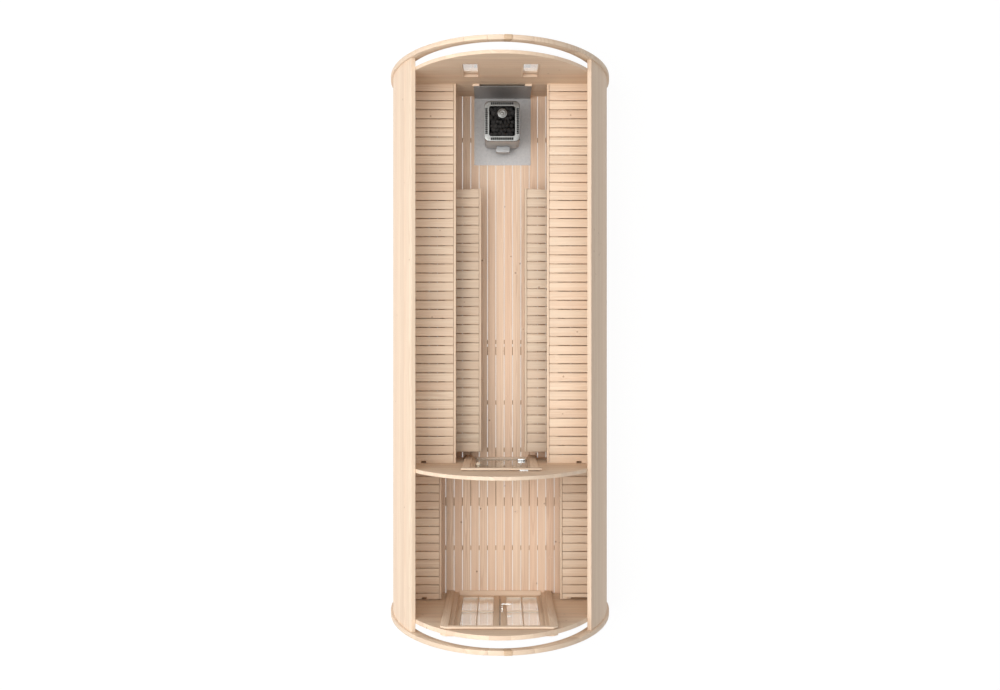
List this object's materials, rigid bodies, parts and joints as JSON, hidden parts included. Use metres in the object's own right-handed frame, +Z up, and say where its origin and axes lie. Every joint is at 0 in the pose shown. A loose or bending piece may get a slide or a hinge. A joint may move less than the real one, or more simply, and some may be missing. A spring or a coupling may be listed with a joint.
{
  "type": "sauna pod",
  "caption": "Arched timber sauna pod, open at the crown, with a front room, a glass inner door, slatted benches, an electric stone heater and glazed double doors.",
  "frame": {"origin": "middle of the pod's length and width at ground level", "axes": "+Z up, +Y along the pod towards the heater end, +X to the right when looking from the front doors"},
  "size_m": [2.4256, 5.9, 2.5108],
  "materials": {
    "timber": "planed softwood, untreated",
    "treated_timber": "pressure treated softwood",
    "clear_glass": "clear polished",
    "bright_steel": "brushed",
    "sheet_steel": "satin galvanised look",
    "stone": "rough dark stone"
  },
  "bodies": {
    "pod": {"ground_bearers": "treated_timber", "floor_boards": "timber", "left_lower_wall": "timber", "left_upper_wall": "timber", "right_lower_wall": "timber", "right_upper_wall": "timber", "rear_left_hoop": "timber", "rear_right_hoop": "timber", "front_left_hoop": "timber", "front_right_hoop": "timber", "hoop_crowns": "timber", "cover_blocks": "timber", "rear_wall": "timber", "rear_window_frames": "timber", "rear_window_glass": "clear_glass", "front_wall_sides": "timber", "front_wall_head": "timber", "partition_sides": "timber", "partition_head": "timber", "front_door_jambs": "timber", "front_door_head": "timber", "front_door_sill": "timber", "inner_door_jambs": "timber", "inner_door_head": "timber", "inner_door_sill": "timber", "upper_benches": "timber", "lower_benches": "timber", "front_benches": "timber", "bench_supports": "timber", "heater_cabinet": "sheet_steel", "heater_top": "bright_steel", "heater_stones": "stone", "heat_shield": "sheet_steel", "shield_battens": "timber", "frame_hinges": "bright_steel"},
    "left_door": {"left_leaf": "timber", "left_leaf_glass": "clear_glass", "left_leaf_hinges": "bright_steel"},
    "right_door": {"right_leaf": "timber", "right_leaf_glass": "clear_glass", "right_leaf_hinges": "bright_steel", "door_handle": "bright_steel"},
    "inner_door": {"inner_glass_door": "clear_glass", "inner_door_hinges": "bright_steel", "inner_door_knob": "timber"}
  },
  "joints": [
    {"name": "left_door_hinge", "type": "hinge", "parent": "pod", "child": "left_door", "pos_m": [-0.457, -2.8464, 1.1], "axis": [0, 0, -1], "range_deg": [0, 100]},
    {"name": "right_door_hinge", "type": "hinge", "parent": "pod", "child": "right_door", "pos_m": [0.457, -2.8464, 1.1], "axis": [0, 0, 1], "range_deg": [0, 100]},
    {"name": "inner_door_hinge", "type": "hinge", "parent": "pod", "child": "inner_door", "pos_m": [0.287, -1.306, 0.95], "axis": [0, 0, 1], "range_deg": [0, 100]}
  ]
}
